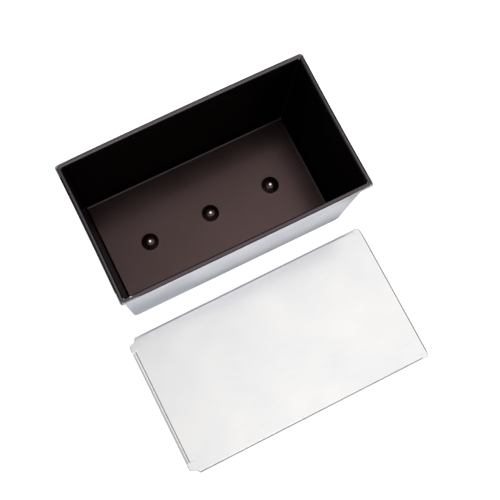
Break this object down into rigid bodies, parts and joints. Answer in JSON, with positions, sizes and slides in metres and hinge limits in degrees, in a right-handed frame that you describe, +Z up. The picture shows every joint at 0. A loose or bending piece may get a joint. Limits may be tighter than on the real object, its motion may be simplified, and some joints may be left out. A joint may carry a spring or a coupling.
{
  "type": "pullman loaf pan",
  "caption": "Deep rectangular loaf pan with a wire-rolled rim and domed floor vents, and a flat lid whose folded edges slide along the rim.",
  "frame": {"origin": "centre of the pan's underside, in the plane that the pan and its lid rest on", "axes": "+X along the pan towards the end that the lid's open end faces, +Y across it away from the lid, +Z up out of its mouth"},
  "size_m": [0.213, 0.2432, 0.11],
  "materials": {
    "coated_sheet": "dark brown-grey non-stick coat inside and over the rim, on aluminised steel sheet whose outside is bare",
    "steel_wire": "drawn wire, hidden in the rolled rim",
    "bare_sheet": "pale satin aluminised steel sheet, bare on both sides"
  },
  "bodies": {
    "pan": {"pan_sheet": "coated_sheet", "rim_wire": "steel_wire"},
    "lid": {"lid_sheet": "bare_sheet"}
  },
  "joints": [
    {"name": "lid_lift", "type": "slide", "parent": "pan", "child": "lid", "axis": [0, 0, 1], "range_m": [0, 0.15]}
  ]
}
